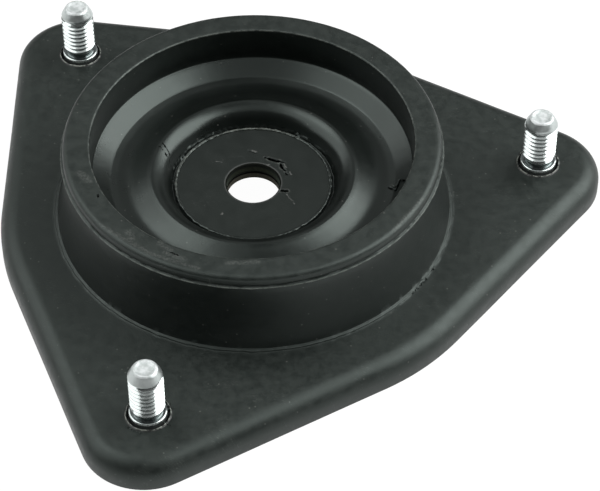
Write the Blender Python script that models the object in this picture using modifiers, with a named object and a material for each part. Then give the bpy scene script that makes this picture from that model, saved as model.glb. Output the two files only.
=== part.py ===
"""Strut mount: a rubber-covered steel plate with a raised ring, a sprung hub and three studs.

Metres, +Z up. X runs across the plate, and the front stud points to -Y. The plate stands on
the foot of its rim at z = 0, and the origin is the bottom centre of the whole part. The hub
axis is parallel to Z, and every piece hangs from an empty on that axis.
"""
import math

import bmesh
import bpy

MM = 0.001

# Studs: three M8 press-in studs at 120 degrees, their circle a little off the hub axis
# and inside the circle on which the plate's round corners are centred
STUD_NAMES = ("stud_right", "stud_left", "stud_front")
CORNER_ANGLES = (math.radians(30), math.radians(150), math.radians(270))
STUD_INSET = 0.6 * MM
STUD_SHIFT_X = 0.4 * MM
STUD_SHIFT_Y = 0.5 * MM
THREAD_R = 3.95 * MM
TIP_R = 2.7 * MM
TIP_LENGTH = 2.4 * MM
TIP_ROUND = 0.6 * MM
STUD_RISE = 15.3 * MM
SHOULDER_R = 4.35 * MM
SHOULDER_RISE = 1.2 * MM
SHOULDER_EDGE = 0.3 * MM
NECK_R = 3.35 * MM
NECK_LENGTH = 1.2 * MM
HEAD_R = 6.2 * MM
HEAD_THICK = 1.8 * MM
RUBBER_HOLE_MARGIN = 0.5 * MM

# Plate around the ring, and the rim that it rolls down into
CORNER_R = 14.9 * MM
CORNER_REACH = 9.3 * MM
PLATE_LAND = 13.2 * MM
RIM_BEND = 0.7 * MM
RIM_SKIRT = 3.0 * MM
SKIN = 1.2 * MM
PLATE_THICK = 2.5 * MM
FOOT_LIP = 0.9 * MM

# Gap that bonded and pressed pieces keep from each other
FIT = 0.3 * MM

# Raised ring around the hub
RING_WIDTH = 6.4 * MM
RING_RISE = 20.95 * MM
RING_EDGE = 1.6 * MM
RING_INNER_EDGE = 0.9 * MM
BORE_FILLET = 0.5 * MM
BAND_HEIGHT = 1.5 * MM
LIP_REACH = 0.6 * MM
LIP_THICK = 0.3 * MM
LIP_STEP = 0.25 * MM
WALL_STEP = 0.35 * MM
WALL_FLARE = 2.25 * MM
RIDGE_WIDTH = 0.7 * MM
RIDGE_HEIGHT = 0.35 * MM
COLLAR_BEND = 3.0 * MM

# Rubber web from the hub out to the ring, heights above the plate's top face
FLANK_WIDTH = 1.7 * MM
FLANK_RISE = 1.5 * MM
FLANK_FULLNESS = 0.75
SLOPE_WIDTH = 5.8 * MM
CREST_RISE = 10.8 * MM
CREST_WIDTH = 7.3 * MM
CREST_FULLNESS = 0.35
TROUGH_RISE = 8.9 * MM
TROUGH_WIDTH = 2.2 * MM
LEDGE_RISE = 12.1 * MM
LEDGE_DROP = 2.7 * MM
LEDGE_WIDTH = 4.2 * MM
WEB_THICK = 5.5 * MM
WEB_ARCH_FLAT = 4.3 * MM
WEB_ROOT_WIDTH = 2.0 * MM
WEB_ROOT_RISE = -1.6 * MM

# Hub: a flat upper plate and a stamped bearing seat below it
HUB_R = 18.2 * MM
HUB_RISE = 6.55 * MM
HUB_THICK = 2.5 * MM
HUB_EDGE = 0.3 * MM
FLASH_RISE = 0.1 * MM
ROD_HOLE_R = 6.3 * MM
ROD_CHAMFER = 0.8 * MM
SEAT_REACH = 5.8 * MM
SEAT_THICK = 2.0 * MM
SEAT_FOOT = 1.95 * MM
SEAT_BEND = 3.0 * MM
SEAT_SKIRT = 1.8 * MM

# How finely the round shapes are divided
RING_STEPS = 60
HUB_STEPS = 44
STUD_STEPS = 24
CORNER_STEPS = 10
WAIST_STEPS = 4
ROUND_STEPS = 4
CUT_PAST = 3.0 * MM

# Radii that follow from the sizes above, from the hub outwards
SEAT_R = HUB_R + SEAT_REACH
CREST_R = HUB_R + SLOPE_WIDTH
TROUGH_R = CREST_R + CREST_WIDTH
LEDGE_R = TROUGH_R + TROUGH_WIDTH
RING_BORE_R = LEDGE_R + LEDGE_WIDTH
COLLAR_BORE_R = RING_BORE_R + SKIN + FIT
COLLAR_R = COLLAR_BORE_R + PLATE_THICK
WEB_ROOT_R = COLLAR_BORE_R - WEB_ROOT_WIDTH
RING_BAND_R = RING_BORE_R + RING_WIDTH
LIP_R = RING_BAND_R + LIP_REACH
WALL_TOP_R = LIP_R - WALL_STEP
WALL_FOOT_R = WALL_TOP_R + WALL_FLARE
RIDGE_R = WALL_FOOT_R + RIDGE_WIDTH
WAIST_R = RIDGE_R + PLATE_LAND
CORNER_CIRCLE_R = WAIST_R + CORNER_REACH
STUD_CIRCLE_R = CORNER_CIRCLE_R - STUD_INSET

# Heights that follow, from the foot of the rim upwards
RIM_ROUND = SKIN + PLATE_THICK + RIM_BEND
RIM_HEIGHT = RIM_ROUND + RIM_SKIRT
STEEL_TOP = RIM_HEIGHT - SKIN
STEEL_BOTTOM = STEEL_TOP - PLATE_THICK
RING_TOP = RIM_HEIGHT + RING_RISE
COLLAR_TOP = RING_TOP - SKIN
HUB_TOP = RIM_HEIGHT + HUB_RISE
HUB_BOTTOM = HUB_TOP - HUB_THICK
SEAT_TOP = HUB_BOTTOM - FIT
HUB_Y = 0.5 * (CORNER_CIRCLE_R + CORNER_R - WAIST_R)


def clear_scene():
    for obj in list(bpy.data.objects):
        bpy.data.objects.remove(obj, do_unlink=True)


def make_collection(name):
    collection = bpy.data.collections.new(name)
    bpy.context.scene.collection.children.link(collection)
    return collection


def make_material(name, color, roughness, metallic):
    material = bpy.data.materials.new(name)
    material.use_nodes = True
    shader = material.node_tree.nodes["Principled BSDF"]
    shader.inputs["Base Color"].default_value = (*color, 1.0)
    shader.inputs["Roughness"].default_value = roughness
    shader.inputs["Metallic"].default_value = metallic
    return material


def make_axis():
    """The empty on the hub axis that carries every piece."""
    axis = bpy.data.objects.new("hub_axis", None)
    axis.location = (0.0, HUB_Y, 0.0)
    PARTS.objects.link(axis)
    return axis


def place(name, mesh, collection, x=0.0, y=0.0):
    obj = bpy.data.objects.new(name, mesh)
    obj.parent = AXIS
    obj.location = (x, y, 0.0)
    collection.objects.link(obj)
    if collection is CUTTERS:
        obj.hide_render = True
        obj.display_type = "WIRE"
    return obj


def arc(center_r, center_z, radius, start, end, steps=ROUND_STEPS):
    """Points of an arc in the section plane, angles in degrees from +r towards +z."""
    points = []
    for i in range(steps + 1):
        angle = math.radians(start + (end - start) * i / steps)
        points.append((center_r + radius * math.cos(angle), center_z + radius * math.sin(angle)))
    return points


def smooth_run(points, steps=2):
    """A Catmull-Rom curve through section points, for the moulded waves."""
    run = []
    for i in range(len(points) - 1):
        before = points[max(i - 1, 0)]
        start, end = points[i], points[i + 1]
        after = points[min(i + 2, len(points) - 1)]
        for j in range(steps):
            t = j / steps
            run.append(tuple(
                0.5 * (2 * b + (c - a) * t + (2 * a - 5 * b + 4 * c - d) * t * t
                       + (3 * b - a - 3 * c + d) * t ** 3)
                for a, b, c, d in zip(before, start, end, after)))
    run.append(points[-1])
    return run


def turned(name, profile, steps, collection, x=0.0, y=0.0):
    """Spins a closed section about the piece's own Z axis with a Screw modifier."""
    mesh = bpy.data.meshes.new(name)
    count = len(profile)
    edges = [(i, (i + 1) % count) for i in range(count)]
    mesh.from_pydata([(r, 0.0, z) for r, z in profile], edges, [])
    obj = place(name, mesh, collection, x, y)
    screw = obj.modifiers.new("turn", "SCREW")
    screw.axis = "Z"
    screw.angle = math.tau
    screw.steps = steps
    screw.render_steps = steps
    screw.use_merge_vertices = True
    screw.merge_threshold = 1e-6
    return obj


def outline(inset):
    """Plate outline: three round corners at the studs and three blunt ones between them."""
    corner = CORNER_R - inset
    waist = WAIST_R - inset
    spread = math.acos((WAIST_R - CORNER_R) / CORNER_CIRCLE_R)
    points = []
    for middle in CORNER_ANGLES:
        cx = CORNER_CIRCLE_R * math.cos(middle)
        cy = CORNER_CIRCLE_R * math.sin(middle)
        for i in range(CORNER_STEPS + 1):
            angle = middle - spread + 2 * spread * i / CORNER_STEPS
            points.append((cx + corner * math.cos(angle), cy + corner * math.sin(angle)))
        gap = math.tau / len(CORNER_ANGLES) - 2 * spread
        for i in range(WAIST_STEPS + 1):
            angle = middle + spread + gap * i / WAIST_STEPS
            points.append((waist * math.cos(angle), waist * math.sin(angle)))
    return points


def slab(name, inset, bottom, top, edge, collection):
    """The outline as a solid slab whose top edge is rounded over."""
    points = outline(inset)
    curve = bpy.data.curves.new(name, "CURVE")
    curve.dimensions = "2D"
    curve.fill_mode = "BOTH"
    curve.extrude = 0.5 * (top - bottom)
    spline = curve.splines.new("POLY")
    spline.points.add(len(points) - 1)
    for point, (px, py) in zip(spline.points, points):
        point.co = (px, py, 0.0, 1.0)
    spline.use_cyclic_u = True
    flat = bpy.data.objects.new(name + "_outline", curve)
    CUTTERS.objects.link(flat)
    bpy.context.view_layer.update()
    depsgraph = bpy.context.evaluated_depsgraph_get()
    mesh = bpy.data.meshes.new_from_object(flat.evaluated_get(depsgraph))
    bpy.data.objects.remove(flat, do_unlink=True)
    bm = bmesh.new()
    bm.from_mesh(mesh)
    bmesh.ops.remove_doubles(bm, verts=bm.verts, dist=1e-6)
    bmesh.ops.translate(bm, verts=bm.verts, vec=(0.0, 0.0, 0.5 * (top + bottom)))
    bmesh.ops.dissolve_limit(bm, angle_limit=math.radians(0.5), verts=bm.verts, edges=bm.edges)
    rim = [e for e in bm.edges if min(v.co.z for v in e.verts) > top - 1e-6]
    bmesh.ops.bevel(bm, geom=rim, offset=edge, offset_type="OFFSET", segments=ROUND_STEPS,
                    profile=0.5, affect="EDGES", material=-1, clamp_overlap=False)
    bmesh.ops.recalc_face_normals(bm, faces=bm.faces)
    bm.to_mesh(mesh)
    bm.free()
    return place(name, mesh, collection)


def round_cutter(name, radius, bottom, top, steps, x=0.0, y=0.0):
    bm = bmesh.new()
    bmesh.ops.create_cone(bm, cap_ends=True, segments=steps, radius1=radius, radius2=radius,
                          depth=top - bottom)
    bmesh.ops.translate(bm, verts=bm.verts, vec=(0.0, 0.0, 0.5 * (top + bottom)))
    mesh = bpy.data.meshes.new(name)
    bm.to_mesh(mesh)
    bm.free()
    return place(name, mesh, CUTTERS, x, y)


def combine(obj, helper, operation):
    change = obj.modifiers.new(helper.name, "BOOLEAN")
    change.solver = "EXACT"
    change.operation = operation
    change.object = helper


def stud_places():
    for name, angle in zip(STUD_NAMES, CORNER_ANGLES):
        x = STUD_CIRCLE_R * math.cos(angle) + STUD_SHIFT_X
        y = STUD_CIRCLE_R * math.sin(angle) + STUD_SHIFT_Y
        yield name, x, y


def finish(obj, material):
    """Gives a piece its material and smooth round sides."""
    obj.data.materials.append(material)
    for polygon in obj.data.polygons:
        polygon.use_smooth = True
    obj.data.set_sharp_from_angle(angle=math.radians(35))


def collar_section():
    """The steel collar with its bends and a flange that joins the plate."""
    flange_r = COLLAR_R + COLLAR_BEND + PLATE_THICK
    bend_r = COLLAR_R + COLLAR_BEND
    bend_z = STEEL_TOP + COLLAR_BEND
    outer = arc(bend_r, bend_z, COLLAR_BEND, 180, 270)
    inner = arc(bend_r, bend_z, COLLAR_BEND + PLATE_THICK, 270, 180)
    return ([(COLLAR_R, COLLAR_TOP - FIT)] + outer + [(flange_r, STEEL_TOP), (flange_r, STEEL_BOTTOM)]
            + inner + [(COLLAR_BORE_R, COLLAR_TOP - FIT)])


def mounting_plate():
    """Stamped plate: flat web, rolled rim, drawn collar and three stud holes."""
    plate = slab("mounting_plate", SKIN, FOOT_LIP + FIT, STEEL_TOP, RIM_ROUND - SKIN, PARTS)
    inside = SKIN + PLATE_THICK
    hollow = slab("plate_hollow", inside, -CUT_PAST, STEEL_BOTTOM, RIM_ROUND - inside, CUTTERS)
    combine(plate, hollow, "DIFFERENCE")
    opening_r = COLLAR_R + COLLAR_BEND + 0.5 * PLATE_THICK
    opening = round_cutter("plate_opening", opening_r, -CUT_PAST, RING_TOP, RING_STEPS)
    combine(plate, opening, "DIFFERENCE")
    collar = turned("plate_collar", collar_section(), RING_STEPS, CUTTERS)
    combine(plate, collar, "UNION")
    for name, x, y in stud_places():
        hole = round_cutter(name + "_plate_hole", SHOULDER_R + FIT, -CUT_PAST, RING_TOP,
                            STUD_STEPS, x, y)
        combine(plate, hole, "DIFFERENCE")
    finish(plate, STEEL)


def ring_outer_side():
    """Outside of the ring from its flat top down to the ridge on the plate."""
    band_foot = RING_TOP - RING_EDGE - BAND_HEIGHT + LIP_THICK
    wall_top = band_foot - LIP_THICK - LIP_STEP
    wall_foot = RIM_HEIGHT + RIDGE_HEIGHT
    side = arc(RING_BAND_R - RING_EDGE, RING_TOP - RING_EDGE, RING_EDGE, 90, 0, 3)
    side += [(RING_BAND_R, band_foot + LIP_STEP), (LIP_R, band_foot), (LIP_R, band_foot - LIP_THICK)]
    for i in range(6):
        t = i / 5
        radius = WALL_TOP_R + (WALL_FOOT_R - WALL_TOP_R) * t ** 3
        side.append((radius, wall_top + (wall_foot - wall_top) * t))
    side += [(RIDGE_R, wall_foot), (RIDGE_R, STEEL_TOP + FIT)]
    return side


def collar_slot():
    """Inside of the rubber ring, which takes the steel collar with its bond gap."""
    bend_r = COLLAR_R + COLLAR_BEND
    bend_z = STEEL_TOP + COLLAR_BEND
    slot = arc(bend_r, bend_z, COLLAR_BEND - FIT, 270, 180)
    slot += [(COLLAR_R + FIT, COLLAR_TOP), (COLLAR_BORE_R - FIT, COLLAR_TOP)]
    return slot


def web_underside():
    """Underside of the rubber web, from the collar in to the bearing seat."""
    root_z = RIM_HEIGHT + WEB_ROOT_RISE
    seat_side = SEAT_R + FIT
    skirt_r = seat_side + SEAT_SKIRT
    skirt_z = SEAT_FOOT + 2 * SEAT_THICK
    arch_r = 0.5 * (skirt_r + WEB_ROOT_R)
    arch_z = RIM_HEIGHT + TROUGH_RISE - WEB_THICK
    wave = smooth_run([
        (WEB_ROOT_R, root_z),
        (arch_r + 0.5 * WEB_ARCH_FLAT, arch_z),
        (arch_r - 0.5 * WEB_ARCH_FLAT, arch_z),
        (skirt_r, skirt_z)])
    return [(COLLAR_BORE_R - FIT, root_z)] + wave + [(seat_side, skirt_z)]


def web_top():
    """Top of the rubber web: slope from the hub, crest, trough and ledge up to the ring."""
    base = RIM_HEIGHT
    edge_r = HUB_R + FIT
    flank_r = edge_r + FLANK_WIDTH
    flank_rise = HUB_RISE + FLANK_RISE
    wave = smooth_run([
        (edge_r, HUB_TOP + FLASH_RISE),
        (flank_r, base + flank_rise),
        (0.5 * (flank_r + CREST_R), base + flank_rise + FLANK_FULLNESS * (CREST_RISE - flank_rise)),
        (CREST_R, base + CREST_RISE),
        (0.5 * (CREST_R + TROUGH_R), base + TROUGH_RISE + CREST_FULLNESS * (CREST_RISE - TROUGH_RISE)),
        (TROUGH_R, base + TROUGH_RISE),
        (0.5 * (TROUGH_R + LEDGE_R), base + 0.5 * (TROUGH_RISE + LEDGE_RISE - LEDGE_DROP)),
        (LEDGE_R, base + LEDGE_RISE - LEDGE_DROP),
        (RING_BORE_R - BORE_FILLET, base + LEDGE_RISE)])
    bore = [(RING_BORE_R, base + LEDGE_RISE + BORE_FILLET)]
    top = arc(RING_BORE_R + RING_INNER_EDGE, RING_TOP - RING_INNER_EDGE, RING_INNER_EDGE, 180, 90, 2)
    return wave + bore + top


def rubber_section():
    seat_bend_r = SEAT_R - SEAT_BEND
    over_seat = arc(seat_bend_r, SEAT_TOP - SEAT_BEND, SEAT_BEND + FIT, 0, 90)
    under_hub = [(HUB_R + FIT, SEAT_TOP + FIT)]
    return (ring_outer_side() + collar_slot() + web_underside() + over_seat + under_hub + web_top())


def rubber_moulding():
    """One rubber moulding: skin over plate and rim, the ring, and the web out to the hub."""
    rubber = slab("rubber_moulding", 0.0, 0.0, RIM_HEIGHT, RIM_ROUND, PARTS)
    over = SKIN - FIT
    space = slab("skin_space", over, FOOT_LIP, STEEL_TOP + FIT, RIM_ROUND - over, CUTTERS)
    combine(rubber, space, "DIFFERENCE")
    inside = SKIN + PLATE_THICK + FIT
    mouth = slab("rim_mouth", inside, -CUT_PAST, STEEL_BOTTOM, RIM_ROUND - inside, CUTTERS)
    combine(rubber, mouth, "DIFFERENCE")
    opening_r = 0.5 * (COLLAR_R + COLLAR_BEND + RIDGE_R)
    opening = round_cutter("skin_opening", opening_r, -CUT_PAST, RING_TOP, RING_STEPS)
    combine(rubber, opening, "DIFFERENCE")
    ring = turned("ring_and_web", rubber_section(), RING_STEPS, CUTTERS)
    combine(rubber, ring, "UNION")
    for name, x, y in stud_places():
        hole = round_cutter(name + "_skin_hole", SHOULDER_R + RUBBER_HOLE_MARGIN, -CUT_PAST,
                            RING_TOP, STUD_STEPS, x, y)
        combine(rubber, hole, "DIFFERENCE")
    finish(rubber, RUBBER)


def hub_plate():
    """Flat plate that the rod nut clamps, with a chamfered rod hole."""
    section = [
        (HUB_R - HUB_EDGE, HUB_TOP), (HUB_R, HUB_TOP - HUB_EDGE), (HUB_R, HUB_BOTTOM),
        (ROD_HOLE_R, HUB_BOTTOM), (ROD_HOLE_R, HUB_TOP - ROD_CHAMFER),
        (ROD_HOLE_R + ROD_CHAMFER, HUB_TOP)]
    finish(turned("hub_plate", section, HUB_STEPS, PARTS), HUB_COAT)


def bearing_seat():
    """Stamped cup under the hub plate, open below for the strut's bearing."""
    bend_r = SEAT_R - SEAT_BEND
    bend_z = SEAT_TOP - SEAT_BEND
    outer = arc(bend_r, bend_z, SEAT_BEND, 90, 0)
    inner = arc(bend_r, bend_z, SEAT_BEND - SEAT_THICK, 0, 90)
    section = (outer + [(SEAT_R, SEAT_FOOT), (SEAT_R - SEAT_THICK, SEAT_FOOT)] + inner
               + [(ROD_HOLE_R, SEAT_TOP - SEAT_THICK), (ROD_HOLE_R, SEAT_TOP)])
    finish(turned("bearing_seat", section, HUB_STEPS, PARTS), STEEL)


def studs():
    """Press-in studs: head under the plate, splined shank, neck and thread."""
    top = RIM_HEIGHT + STUD_RISE
    shoulder = RIM_HEIGHT + SHOULDER_RISE
    head_top = STEEL_BOTTOM - FIT
    section = [
        (TIP_R, top), (TIP_R + TIP_ROUND, top - TIP_ROUND), (THREAD_R, top - TIP_LENGTH),
        (THREAD_R, shoulder + NECK_LENGTH + TIP_ROUND), (NECK_R, shoulder + NECK_LENGTH),
        (NECK_R, shoulder), (SHOULDER_R - SHOULDER_EDGE, shoulder),
        (SHOULDER_R, shoulder - SHOULDER_EDGE), (SHOULDER_R, head_top),
        (HEAD_R - SHOULDER_EDGE, head_top), (HEAD_R, head_top - SHOULDER_EDGE),
        (HEAD_R, head_top - HEAD_THICK + SHOULDER_EDGE),
        (HEAD_R - SHOULDER_EDGE, head_top - HEAD_THICK), (0.0, head_top - HEAD_THICK), (0.0, top)]
    for name, x, y in stud_places():
        finish(turned(name, section, STUD_STEPS, PARTS, x, y), ZINC)


clear_scene()
PARTS = make_collection("strut_mount")
CUTTERS = make_collection("strut_mount_cutters")
AXIS = make_axis()
RUBBER = make_material("rubber", (0.034, 0.038, 0.036), 0.55, 0.0)
STEEL = make_material("coated_steel", (0.03, 0.032, 0.032), 0.45, 0.3)
HUB_COAT = make_material("hub_coating", (0.028, 0.031, 0.03), 0.5, 0.2)
ZINC = make_material("zinc_plate", (0.72, 0.74, 0.76), 0.25, 1.0)
mounting_plate()
rubber_moulding()
hub_plate()
bearing_seat()
studs()
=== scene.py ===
"""Looks of the strut mount: moulded rubber, coated steel, zinc-plated studs, studio light.

The pieces are modelled in millimetres about the hub axis, with z = 0 on the plate's top face,
and finish_piece puts them in the frame, which is in metres.
"""
import math

import bmesh
import bpy
from mathutils import Matrix, Vector, noise


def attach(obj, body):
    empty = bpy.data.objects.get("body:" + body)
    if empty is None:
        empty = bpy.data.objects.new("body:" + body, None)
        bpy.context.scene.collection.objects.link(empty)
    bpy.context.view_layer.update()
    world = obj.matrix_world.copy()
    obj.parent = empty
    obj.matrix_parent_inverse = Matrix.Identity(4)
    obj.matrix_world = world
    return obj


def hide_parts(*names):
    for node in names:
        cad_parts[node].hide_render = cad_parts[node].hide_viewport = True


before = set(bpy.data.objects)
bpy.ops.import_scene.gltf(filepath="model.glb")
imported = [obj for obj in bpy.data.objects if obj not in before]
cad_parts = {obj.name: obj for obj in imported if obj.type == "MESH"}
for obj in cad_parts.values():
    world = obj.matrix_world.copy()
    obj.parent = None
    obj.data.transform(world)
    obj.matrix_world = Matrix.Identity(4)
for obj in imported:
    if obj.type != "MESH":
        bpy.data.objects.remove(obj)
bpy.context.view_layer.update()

# Where the hub axis and the plate's top face lie in the frame, metres
MM = 0.001
HUB_Y = 0.0121
PLATE_TOP = 0.0074

# Plate and rim, millimetres
CORNER_ANGLES = {"right": 30.0, "left": 150.0, "front": 270.0}
CORNER_CIRCLE_R = 69.8
CORNER_R = 14.9
WAIST_R = 60.5
RIM_HEIGHT = 7.4
RIM_ROUND = 4.4
FOOT_ROUND = 0.35
SKIN = 1.2
PLATE_THICK = 2.5
FOOT_LIP = 0.9
FIT = 0.3
STRETCH_FROM = 48.0

# Raised ring
RING_BORE_R = 37.7
RING_BAND_R = 44.1
RING_RISE = 20.95
RING_EDGE = 1.2
RING_INNER_EDGE = 0.5
BORE_FILLET = 0.5
LIP_RISE = 18.2
LIP_R = 44.7
WALL_TOP_R = 44.35
WALL_FOOT_R = 46.6
RIDGE_R = 47.3
RIDGE_HEIGHT = 0.4
COLLAR_BEND = 3.0
COLLAR_BORE_R = RING_BORE_R + SKIN + FIT
COLLAR_R = COLLAR_BORE_R + PLATE_THICK

# Rubber web
LEDGE_RISE = 12.1
LEDGE_R = 33.5
LEDGE_EDGE_RISE = 9.4
TROUGH_R = 30.5
TROUGH_RISE = 8.92
CREST_R = 24.0
CREST_RISE = 10.8
CREST_FLAT = 0.6
WEB_THICK = 5.5
WEB_ARCH_FLAT = 4.3
WEB_ROOT_R = 37.2
WEB_ROOT_RISE = -1.6

# Hub plate and bearing seat
HUB_R = 18.2
HUB_RISE = 6.55
HUB_THICK = 2.5
HUB_EDGE = 0.3
ROD_HOLE_R = 6.3
ROD_CHAMFER = 0.35
SEAT_R = 24.0
SEAT_THICK = 2.0
SEAT_DEPTH = 9.2
SEAT_BEND = 3.0
SEAT_SKIRT = 1.8
SEAT_TOP = HUB_RISE - HUB_THICK - FIT

# Studs, their circle a little off the hub axis
STUD_CIRCLE_R = 69.2
STUD_SHIFT = (0.4, 0.5, 0.0)
THREAD_R = 3.95
ROOT_R = 3.24
PITCH = 1.25
STUD_RISE = 15.3
TIP_R = 2.7
TIP_LENGTH = 2.4
SHOULDER_R = 4.35
SHOULDER_RISE = 1.2
NECK_R = 3.35
NECK_LENGTH = 1.2
HEAD_R = 6.2
HEAD_THICK = 1.8
SKIN_HOLE_R = 4.85
FLASH_BORE_R = 4.5
STUD_TURN = {"right": 200.0, "left": 320.0, "front": 75.0}

# Torn and ragged rubber
RAGGED_ANGLE = 344.0
CRUMBS = 34
SLIVER_LUMPS = 5

# How finely round shapes are divided
RING_STEPS = 500
HUB_STEPS = 420
PLATE_STEPS = 360
SEAT_STEPS = 180
FLASH_STEPS = 120
TURN_STEPS = 64
SHARP_ANGLE = 42.0

# The cool cast of the gloss on the black finishes
COOL_GLOSS = (0.86, 1.0, 0.94, 1)

# Camera, fitted to the photograph
LENS = 148.62
CAMERA_TURN = 19.7
CAMERA_TILT = 46.70
CAMERA_ROLL = -0.42
CAMERA_DISTANCE = 590.2 * MM
CAMERA_SHIFT_RIGHT = 10.95 * MM
CAMERA_SHIFT_UP = -10.46 * MM

# Floor and light: soft boxes as azimuth from the camera's side, elevation, width, height, radiance
FLOOR_REACH = 3.0
FLOOR_DROP = 0.2 * MM
BOX_DISTANCE = 0.9
SOFT_BOXES = {
    "right_box": (9.0, 40.0, 1.0, 0.94, 4.9),
    "left_box": (169.0, 42.0, 1.06, 0.95, 2.0),
    "left_high_box": (150.0, 63.0, 0.42, 0.42, 2.0),
    "back_box": (76.0, 46.0, 1.2, 0.65, 0.33),
    "top_box": (270.0, 74.0, 0.8, 0.5, 0.55),
}
WORLD_STRENGTH = 0.06


def polar(angle, radius, height=0.0):
    """A point about the hub axis, its angle in degrees from +X."""
    turn = math.radians(angle)
    return Vector((radius * math.cos(turn), radius * math.sin(turn), height))


def arc(center_r, center_z, radius, start, end, steps):
    """Section points along an arc, angles in degrees from +r towards +z."""
    points = []
    for i in range(steps + 1):
        angle = math.radians(start + (end - start) * i / steps)
        points.append((center_r + radius * math.cos(angle), center_z + radius * math.sin(angle)))
    return points


def line(start, end, steps):
    """Section points along a straight stretch, without its first point."""
    return [(start[0] + (end[0] - start[0]) * i / steps, start[1] + (end[1] - start[1]) * i / steps)
            for i in range(1, steps + 1)]


def smooth_run(points, steps):
    """A Catmull-Rom curve through section points, for the moulded waves."""
    run = []
    for i in range(len(points) - 1):
        before = points[max(i - 1, 0)]
        start, end = points[i], points[i + 1]
        after = points[min(i + 2, len(points) - 1)]
        for j in range(steps):
            t = j / steps
            run.append(tuple(
                0.5 * (2 * b + (c - a) * t + (2 * a - 5 * b + 4 * c - d) * t * t
                       + (3 * b - a - 3 * c + d) * t ** 3)
                for a, b, c, d in zip(before, start, end, after)))
    run.append(points[-1])
    return run


def wobble(point, size):
    """Smooth noise from -1 to 1, with bumps about size millimetres across."""
    return noise.noise(point / size)


def spin_section(section, steps):
    """A closed section turned once about the hub axis."""
    bm = bmesh.new()
    verts = [bm.verts.new((r, 0.0, z)) for r, z in section]
    edges = [bm.edges.new((verts[i - 1], verts[i])) for i in range(len(verts))]
    bmesh.ops.spin(bm, geom=verts + edges, cent=(0, 0, 0), axis=(0, 0, 1), angle=math.tau,
                   steps=steps, use_merge=True, use_duplicate=False)
    bmesh.ops.recalc_face_normals(bm, faces=bm.faces)
    return bm


def outline_radius(theta, inset):
    """Distance from the hub axis to the plate's outline, drawn in by inset."""
    corner_r = CORNER_R - inset
    spread = math.acos((WAIST_R - CORNER_R) / CORNER_CIRCLE_R)
    third = math.tau / 3
    first = math.radians(CORNER_ANGLES["right"])
    offset = abs((theta - first + 0.5 * third) % third - 0.5 * third)
    corner_end = math.atan2(corner_r * math.sin(spread),
                            CORNER_CIRCLE_R + corner_r * math.cos(spread))
    if offset > spread:
        return WAIST_R - inset
    if offset > corner_end:
        return (WAIST_R - inset) / math.cos(spread - offset)
    across = CORNER_CIRCLE_R * math.sin(offset)
    return CORNER_CIRCLE_R * math.cos(offset) + math.sqrt(corner_r ** 2 - across ** 2)


def stretch_to_outline(bm):
    """Draws a round plate out to its outline: the rim follows it, the flat fills in."""
    flat_end = WAIST_R - RIM_ROUND
    for vert in bm.verts:
        radius = math.hypot(vert.co.x, vert.co.y)
        if radius <= STRETCH_FROM:
            continue
        theta = math.atan2(vert.co.y, vert.co.x)
        if radius < flat_end:
            share = (radius - STRETCH_FROM) / (flat_end - STRETCH_FROM)
            reach = STRETCH_FROM + share * (outline_radius(theta, RIM_ROUND) - STRETCH_FROM)
        else:
            reach = outline_radius(theta, WAIST_R - radius)
        vert.co.x *= reach / radius
        vert.co.y *= reach / radius


def temporary(bm, name):
    """A short-lived object, so that a modifier can work on a bmesh."""
    mesh = bpy.data.meshes.new(name)
    bm.to_mesh(mesh)
    bm.free()
    obj = bpy.data.objects.new(name, mesh)
    bpy.context.scene.collection.objects.link(obj)
    return obj


def cut(bm, tools):
    """Cuts closed meshes out of another with the exact solver, and gives the result."""
    target = temporary(bm, "cut_target")
    helpers = [temporary(tool, "cut_tool") for tool in tools]
    for helper in helpers:
        change = target.modifiers.new("change", "BOOLEAN")
        change.solver = "EXACT"
        change.operation = "DIFFERENCE"
        change.object = helper
    depsgraph = bpy.context.evaluated_depsgraph_get()
    mesh = bpy.data.meshes.new_from_object(target.evaluated_get(depsgraph))
    result = bmesh.new()
    result.from_mesh(mesh)
    for obj in [target] + helpers:
        bpy.data.objects.remove(obj, do_unlink=True)
    return result


def finish_piece(name, bm, material, node=None):
    """Puts a piece into the frame's metres, shades it and hands it to its body."""
    bmesh.ops.scale(bm, vec=(MM, MM, MM), verts=bm.verts)
    bmesh.ops.translate(bm, vec=(0.0, HUB_Y, PLATE_TOP), verts=bm.verts)
    mesh = bpy.data.meshes.new(name)
    bm.to_mesh(mesh)
    bm.free()
    mesh.materials.clear()
    mesh.materials.append(material)
    mesh.shade_smooth()
    mesh.set_sharp_from_angle(angle=math.radians(SHARP_ANGLE))
    piece = bpy.data.objects.new(name, mesh)
    bpy.context.scene.collection.objects.link(piece)
    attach(piece, "root")
    if node:
        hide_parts(node)


def stud_place(side):
    """Where a stud's axis meets the plate's top face."""
    return polar(CORNER_ANGLES[side], STUD_CIRCLE_R) + Vector(STUD_SHIFT)


def stud_hole_tools(radius, depth, segments, unevenness=0.0):
    """Cutters for the holes round the three studs."""
    tools = []
    for side in CORNER_ANGLES:
        tool = bmesh.new()
        bmesh.ops.create_cone(tool, cap_ends=True, segments=segments, radius1=radius, radius2=radius,
                              depth=depth)
        for vert in tool.verts:
            vert.co *= 1.0 + unevenness * wobble(vert.co, 1.2)
        bmesh.ops.translate(tool, vec=stud_place(side), verts=tool.verts)
        tools.append(tool)
    return tools


# Rubber moulding


def rim_and_plate_top():
    points = arc(WAIST_R - FOOT_ROUND, FOOT_ROUND - RIM_HEIGHT, FOOT_ROUND, -90, 0, 3)
    points += arc(WAIST_R - RIM_ROUND, -RIM_ROUND, RIM_ROUND, 0, 90, 12)
    return points + line((WAIST_R - RIM_ROUND, 0.0), (STRETCH_FROM, 0.0), 12)


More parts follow.
